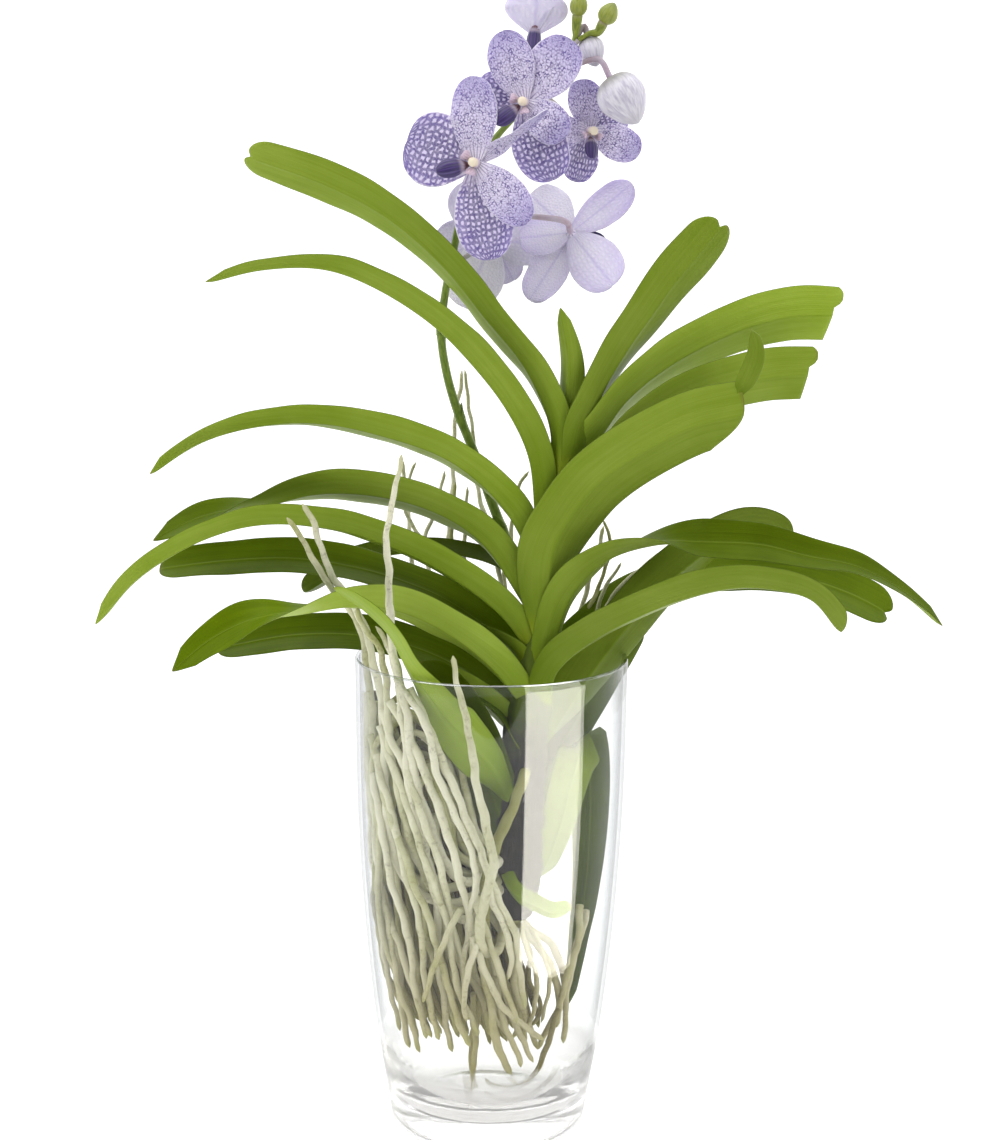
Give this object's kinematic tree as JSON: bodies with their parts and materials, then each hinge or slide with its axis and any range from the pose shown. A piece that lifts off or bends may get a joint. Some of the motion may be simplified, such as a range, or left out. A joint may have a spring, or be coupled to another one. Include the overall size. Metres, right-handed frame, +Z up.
{
  "type": "vanda orchid in a glass vase",
  "caption": "Vanda orchid with arching strap leaves, a netted violet flower spray and long aerial roots standing in a tall clear glass vase.",
  "frame": {"origin": "centre of the vase's flat foot, where it stands on the table", "axes": "+Z up, along the vase's axis; -Y is the front, from which the flowers are seen; +X to the right of the front"},
  "size_m": [0.4859, 0.16, 0.6669],
  "materials": {
    "glass": "clear colourless blown glass, polished, with a thick clear foot",
    "leaf": "waxy green leaf: dark upper face, lighter yellow-green underside, fine lengthwise veins",
    "root_and_stem": "whitish-green velvety root skin, olive in places, with a charcoal-brown old stem",
    "flower_stalk": "smooth green stalk, purplish towards the flowers",
    "violet_petal": "soft lavender-violet petal with a darker violet net, paler at the back",
    "dark_lip": "deep blue-violet, slightly glossy ridged lip",
    "cream_column": "cream, waxy, with a red-brown throat",
    "pale_bud": "white to lavender closed bud, faintly veined",
    "green_bud": "pale yellow-green small bud"
  },
  "bodies": {
    "root": {"vase": "glass", "stem_and_roots": "root_and_stem", "leaf_in_vase_1": "leaf", "leaf_in_vase_2": "leaf", "leaf_front": "leaf", "leaf_right_8": "leaf", "leaf_left_9": "leaf", "leaf_left_8": "leaf", "leaf_right_6": "leaf", "leaf_left_7": "leaf", "leaf_right_5": "leaf", "leaf_left_6": "leaf", "leaf_right_7": "leaf", "leaf_left_5": "leaf", "leaf_right_4": "leaf", "leaf_left_4": "leaf", "leaf_back": "leaf", "leaf_left_3": "leaf", "leaf_right_3": "leaf", "leaf_left_2": "leaf", "leaf_right_2": "leaf", "leaf_left_1": "leaf", "leaf_right_1": "leaf", "leaf_crown": "leaf", "flower_spike": "flower_stalk", "bloom_1_tepals": "violet_petal", "bloom_1_lip": "dark_lip", "bloom_1_column": "cream_column", "bloom_2_tepals": "violet_petal", "bloom_2_lip": "dark_lip", "bloom_2_column": "cream_column", "bloom_3_tepals": "violet_petal", "bloom_3_lip": "dark_lip", "bloom_3_column": "cream_column", "bloom_4_tepals": "violet_petal", "bloom_4_lip": "dark_lip", "bloom_4_column": "cream_column", "bloom_5_tepals": "violet_petal", "bloom_5_lip": "dark_lip", "bloom_5_column": "cream_column", "bloom_6_tepals": "violet_petal", "bloom_6_lip": "dark_lip", "bloom_6_column": "cream_column", "bud_1": "pale_bud", "bud_2": "pale_bud", "bud_3": "green_bud", "bud_4": "green_bud"}
  },
  "joints": []
}
